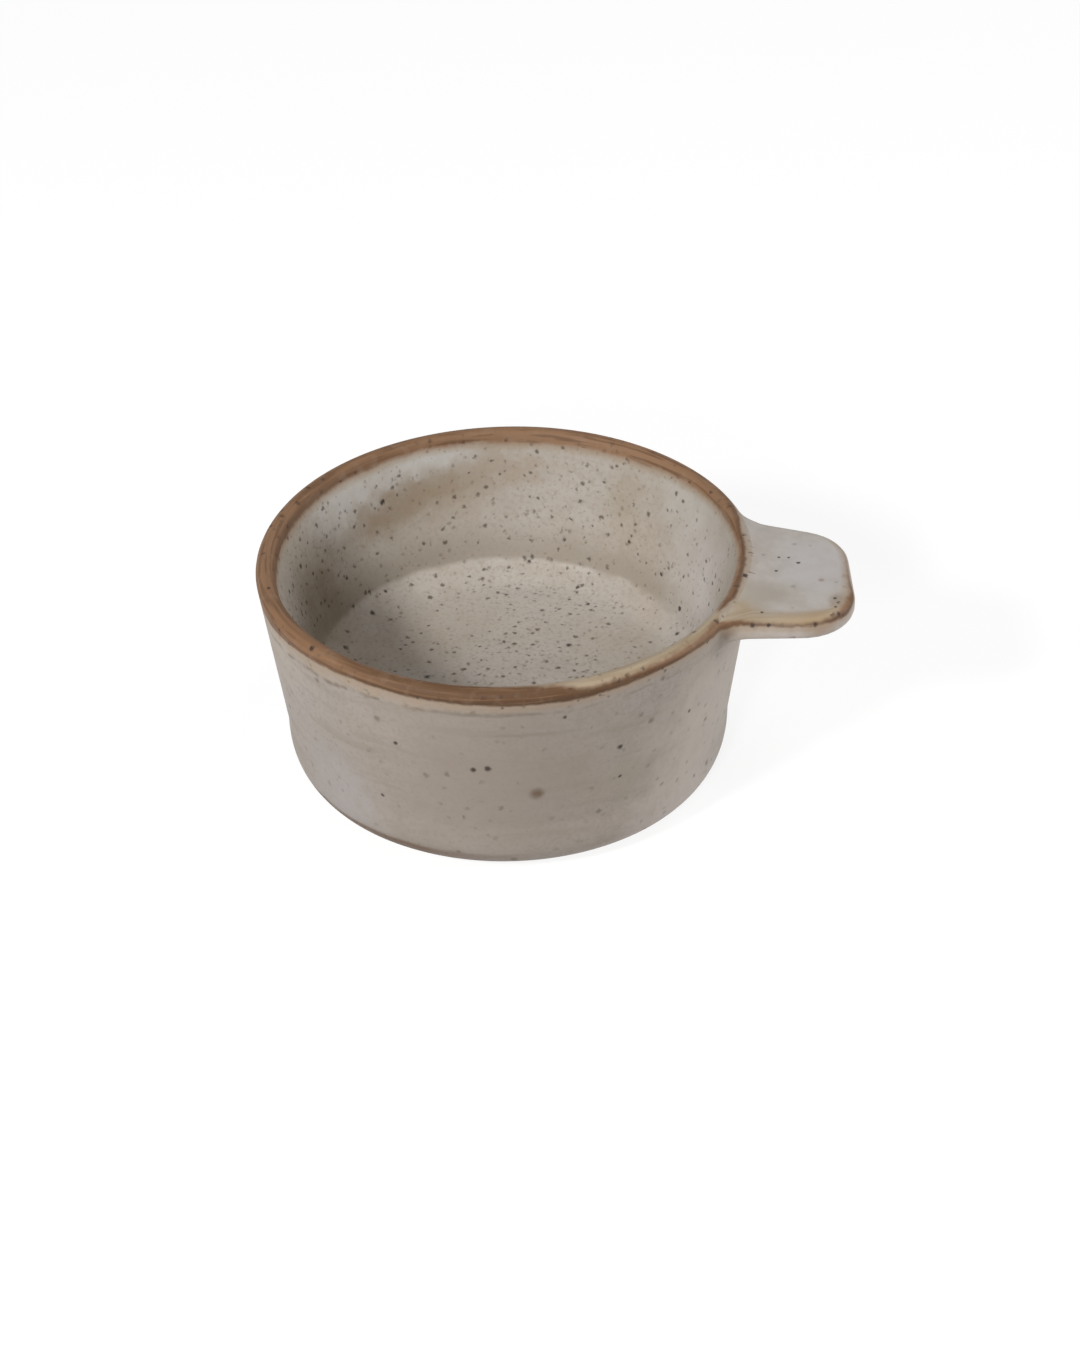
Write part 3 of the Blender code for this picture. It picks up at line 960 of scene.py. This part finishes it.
linerLook = {
    "body": srgb(180, 172, 163), "cool": srgb(182, 176, 170),
    "warm": srgb(176, 166, 154), "dull": srgb(158, 147, 134),
    "driftShare": 0.25, "ringShare": 0.15, "grainShare": 0.65, "mottleShare": 0.2,
    "ringDepth": 0.7, "rough": 0.42,
    # darker lower wall and floor hem: partly thinner glaze, partly painted shade
    "thin": {                                         # heights, and radii for the floor's hem
        "tone": srgb(143, 134, 121), "foot": (21.0, 22.2), "fade": (31.0, 23.0),
        "floorHem": (31.0, 34.5), "fewer": (38.0, 43.0),
    },
    "outside": srgb(151, 141, 132),
    "dash": fleck(1.3, 0.32, 0.15, 1.0, 0.75, (84, 64, 50)),
    "specks": [
        fleck(0.9, 0.26, 0.2, 0.25, 0.35, (110, 95, 80)),
        fleck(1.5, 0.42, 0.28, 0.36, 0.5, (98, 82, 68)),
        fleck(2.1, 0.55, 0.25, 0.6, 0.78, (68, 57, 48)),
        fleck(3.9, 0.75, 0.25, 0.55, 0.95, (46, 38, 33)),
    ],
    "patches": [
        # the next three: pale cool patches under the rim at the back, partly thicker glaze, partly
        # painted reflection and light
        patch((-37, 25, 43), 17, (184, 181, 176), 0.8, stretch=(1, 1, 1.5)),
        patch((-22, 40, 45), 15, (185, 182, 177), 0.8, stretch=(1, 1, 1.5)),
        patch((35, 30, 43), 15, (183, 180, 174), 0.6, stretch=(1, 1, 1.3)),
        # the next three: a brown streak down the rear-left wall, partly brown glaze, partly
        # painted shadow edge
        patch((-30, 31, 36), 8, (140, 122, 101), 0.7, stretch=(0.45, 0.45, 1.2), ragged=7),
        patch((-20, 39, 38.6), 8, (141, 124, 103), 0.7, stretch=(0.45, 0.45, 1.3), ragged=7),
        patch((-7, 44, 41.3), 7, (152, 137, 120), 0.6, stretch=(0.45, 0.45, 1.3), ragged=10),
        patch((20, 40, 38), 7, (150, 138, 118), 0.45, stretch=(1.1, 1.1, 0.6)),
        # the next two: darker olive patches on the inner left wall, partly olive glaze, partly
        # painted shade
        patch((-41, 8, 29), 18, (126, 112, 95), 0.78),
        patch((-34, -10, 24), 17, (130, 117, 100), 0.68),
        patch((38, 16, 32), 20, (186, 180, 175), 0.85),
    ],
}
outerLook = {
    "body": srgb(156, 146, 138), "cool": srgb(159, 151, 145),
    "warm": srgb(153, 142, 131), "dull": srgb(135, 125, 114),
    "driftShare": 0.4, "ringShare": 0.55, "grainShare": 0.6, "mottleShare": 0.3,
    "ringDepth": 1.0, "rough": 0.44,
    "hem": {                                          # heights, and where it is strongest
        "tone": srgb(92, 69, 50), "upper": (6.2, 4.8), "lower": (1.6, 3.2),
        "at": (-24, -38, 6), "reach": 40,
    },
    "tab": srgb(181, 174, 168),
    "dash": fleck(1.3, 0.32, 0.15, 1.0, 0.7, (84, 64, 50)),
    "specks": [
        fleck(2.6, 0.45, 0.45, 0.4, 0.35, (104, 92, 80)),
        fleck(4.4, 0.65, 0.5, 0.6, 0.55, (86, 75, 65)),
    ],
    "patches": [
        # darker middle of the front wall: partly olive-brown glaze, partly painted shade
        patch((4, -50, 26), 30, (137, 126, 115), 0.7, stretch=(1, 1, 0.8), ragged=14),
        # cool patch low on the left: partly cool glaze, partly painted sheen
        patch((-30, -38, 11), 17, (157, 152, 151), 0.6, ragged=12),
        # the next two: lighter on the right of the wall, painted light
        patch((44, -20, 26), 26, (171, 161, 151), 0.85, ragged=14),
        patch((36, -22, 6), 20, (174, 164, 156), 0.8, ragged=12),
        patch((31, -37, 22), 10, (144, 134, 121), 0.5, ragged=14),
        patch((-42, -26, 40), 14, (165, 153, 140), 0.6, ragged=12),
        patch((2, -50, 43.4), 1, (122, 113, 102), 0.6, stretch=(0.05, 0.05, 1.4), ragged=1.2),
        patch((12, -48, 38), 1, (124, 115, 104), 0.5, stretch=(0.06, 0.06, 1.3), ragged=1.2),
        patch((63, 3, 48), 11, (182, 178, 177), 0.8, stretch=(1, 0.8, 1), ragged=10),
        patch((50, -14.5, 48), 6, (158, 141, 117), 0.85, stretch=(0.9, 1.0, 0.6), ragged=3),
        patch((47.2, -19.0, 46.8), 3.2, (112, 90, 70), 0.75, ragged=2),
        patch((66, -16, 47.5), 5, (140, 112, 84), 0.6, ragged=3),
        patch((54, -8.5, 48.3), 7, (152, 143, 128), 0.65, stretch=(0.7, 1.1, 1), ragged=5),
        patch((50.4, 1, 48.5), 1.8, (158, 141, 122), 0.35, stretch=(1, 0.11, 0.5), ragged=1.2),
        patch((65, -2, 48.4), 0.9, (140, 116, 104), 0.8, ragged=0.5),
        patch((69.6, 0.3, 48.2), 1.1, (128, 104, 84), 0.6, ragged=0.8),
        patch((68.8, -9, 47), 4.0, (112, 90, 70), 0.6, stretch=(1.5, 0.8, 1), ragged=3.5),
        patch((12.9, -45.7, 22.0), 2.2, (92, 73, 55), 0.8, ragged=1.6),
    ],
    "spotTone": srgb(54, 45, 39),
    "spots": [                                        # the larger ones: on the wall, then the tab
        ((0.9, -48.4, 28.8), 0.85), ((3.8, -48.4, 29.3), 1.0), ((28.8, -39.2, 30.3), 0.9),
        ((41.2, -19.9, 10.4), 0.8), ((19.0, -46.7, 41.8), 0.7), ((-14.8, -46.8, 32.6), 0.75),
        ((-18.7, -42.7, 16.6), 0.65), ((-28.9, -35.1, 11.6), 0.7), ((-13.9, -43.1, 11.9), 0.65),
        ((7.9, -41.7, 7.4), 0.7), ((28.6, -37.9, 22.2), 0.6), ((41.2, -26.3, 31.0), 0.65),
        ((59.8, 3.8, 48.4), 0.65), ((55.7, 0.2, 48.4), 0.55), ((52.3, -2.2, 48.3), 0.55),
        ((57.7, 5.5, 48.4), 0.5), ((55.7, 5.3, 48.4), 0.5), ((48.0, -18.4, 47.0), 0.7),
        ((52.5, -18.2, 47.2), 0.75), ((55.8, -17.9, 47.3), 0.65), ((65.0, -16.4, 47.2), 0.8),
        ((68.2, -8.2, 48.3), 0.55), ((69.0, -9.6, 48.1), 0.65), ((68.6, -11.3, 48.1), 0.6),
        ((69.2, -12.6, 47.6), 0.6), ((54.2, -15.0, 48.2), 0.5),
    ],
}


# bare clay: buff brown, gritty, ringed where the base was turned

clayLook = {
    "tone": srgb(150, 117, 88), "dust": srgb(168, 138, 108), "ringDepth": 0.35,
    "specks": linerLook["specks"][:2],
}
slipLook = {
    "tone": srgb(140, 108, 82), "dust": srgb(156, 126, 98), "ringDepth": 0.0,
    "specks": linerLook["specks"][:2],
}


def makeClay(name, look):
    made, tree, shader, where = newMaterial(name, 0.2)
    flow = useGroup(tree, glazeFlow, {"Place": where})
    colour = tint(tree, look["tone"], look["dust"], flow["Mottle"])
    out = vectorCalc(tree, "LENGTH", level(tree, where))
    rings = calc(tree, "SINE", times(tree, mulAdd(tree, flow["Cloud"], 1.2, out), 5.2))
    colour = tint(tree, colour, look["tone"], rise(tree, rings, 0.2, 1.0), 0.25)
    colour = speckle(tree, where, colour, look["specks"])[0]
    tree.links.new(colour, shader["Base Color"])
    tree.links.new(mulAdd(tree, flow["Peel"], 0.2, 0.72), shader["Roughness"])
    grit = noise(tree, where, 3.5, 3.0, 0.7)
    bumpUp(tree, shader, mulAdd(tree, grit, 0.8, times(tree, rings, look["ringDepth"])), 0.8)
    return made


def dress(piece, look):
    piece.data.materials.clear()
    piece.data.materials.append(look)


dress(linerCoat, makeGlaze("liner glaze", linerLook))
dress(outerCoat, makeGlaze("outer glaze", outerLook))
stoneware = makeClay("bare stoneware", clayLook)
dress(bowlClay, stoneware)
dress(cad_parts["tab_handle"], stoneware)
dress(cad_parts["handle_slip"], makeClay("luting slip", slipLook))
print("materials:", ", ".join(m.name for m in bpy.data.materials if m.users))


# stage, light and camera

studio = {
    "floorSize": 6.0, "fill": 0.10, "far": 1.2,
    "white": (1, 1, 1, 1),
    "paper": (0.72, 0.72, 0.72, 1),                   # as it lights the bowl
    "paperSeen": (0.2, 0.2, 0.2, 1), "paperGlow": 0.86,
    "lamps": {                                        # degrees from the front
        "key": {"turn": -33, "rise": 37, "size": 0.18, "power": 9.2},
        "front": {"turn": -4, "rise": 28, "size": 0.15, "power": 4.6},
        "side": {"turn": 106, "rise": 8, "size": 0.3, "power": 6.4},
        "top": {"turn": 88, "rise": 68, "size": 0.6, "power": 3.3},
    },
}
view = {
    "at": (0.09771, -0.57956, 0.42784), "facing": (-0.12697, 0.81024, -0.57218),
    "roll": -0.93, "sensor": 36, "lens": 91.1,
}


def whiteForCamera(tree):
    # one where the ray comes straight from the camera, a mirror or glass
    path = addNode(tree, "ShaderNodeLightPath").outputs
    seen = calc(tree, "MAXIMUM", path["Is Camera Ray"], path["Is Glossy Ray"])
    return calc(tree, "MAXIMUM", seen, path["Is Transmission Ray"])


def makeFloor():
    deselectAll()
    bpy.ops.mesh.primitive_plane_add(size=studio["floorSize"], location=(0, 0, 0))
    floor = bpy.context.object
    floor.name = "floor"
    paper = bpy.data.materials.new("white paper")
    paper.use_nodes = True
    tree = paper.node_tree
    tree.nodes.clear()

    def shade(kind, inputs=None):
        return addNode(tree, kind, inputs).outputs[0]

    plain = shade("ShaderNodeBsdfDiffuse", {"Color": studio["paper"]})
    soft = shade("ShaderNodeBsdfDiffuse", {"Color": studio["paperSeen"]})
    inputs = {"Color": studio["white"], "Strength": studio["paperGlow"]}
    sheet = shade("ShaderNodeAddShader", {0: soft, 1: shade("ShaderNodeEmission", inputs)})
    sheet = shade("ShaderNodeMixShader", {0: whiteForCamera(tree), 1: plain, 2: sheet})
    # clear from below
    back = addNode(tree, "ShaderNodeNewGeometry").outputs["Backfacing"]
    inputs = {0: back, 1: sheet, 2: shade("ShaderNodeBsdfTransparent")}
    sheet = shade("ShaderNodeMixShader", inputs)
    addNode(tree, "ShaderNodeOutputMaterial", {"Surface": sheet})
    floor.data.materials.append(paper)


def makeWorld():
    world = bpy.data.worlds.new("studio")
    bpy.context.scene.world = world
    world.use_nodes = True
    tree = world.node_tree
    inputs = {"Value": whiteForCamera(tree), "To Min": studio["fill"], "To Max": 1.0}
    strength = addNode(tree, "ShaderNodeMapRange", inputs).outputs["Result"]
    sky = tree.nodes["Background"].inputs
    sky["Color"].default_value = studio["white"]
    tree.links.new(strength, sky["Strength"])


def makeLamps():
    for name, lamp in studio["lamps"].items():
        turn, high = math.radians(lamp["turn"]), math.radians(lamp["rise"])
        x, y = math.sin(turn) * math.cos(high), -math.cos(turn) * math.cos(high)
        toward = Vector((x, y, math.sin(high)))
        deselectAll()
        bpy.ops.object.light_add(type="AREA", location=toward * studio["far"])
        light = bpy.context.object
        light.name = name + "Light"
        light.data.shape = "DISK"
        light.data.size = lamp["size"]
        light.data.energy = lamp["power"]
        light.rotation_euler = toward.to_track_quat("Z", "Y").to_euler()


def makeCamera():
    deselectAll()
    bpy.ops.object.camera_add(location=view["at"])
    camera = bpy.context.object
    camera.name = "photoCamera"
    roll = Quaternion((0, 0, 1), math.radians(view["roll"]))
    camera.rotation_mode = "QUATERNION"
    camera.rotation_quaternion = Vector(view["facing"]).to_track_quat("-Z", "Y") @ roll
    camera.data.sensor_width = view["sensor"]
    camera.data.lens = view["lens"]
    bpy.context.scene.camera = camera


makeFloor()
makeWorld()
makeLamps()
makeCamera()
bpy.context.scene.view_settings.view_transform = "Standard"
print("stage, light and camera set")
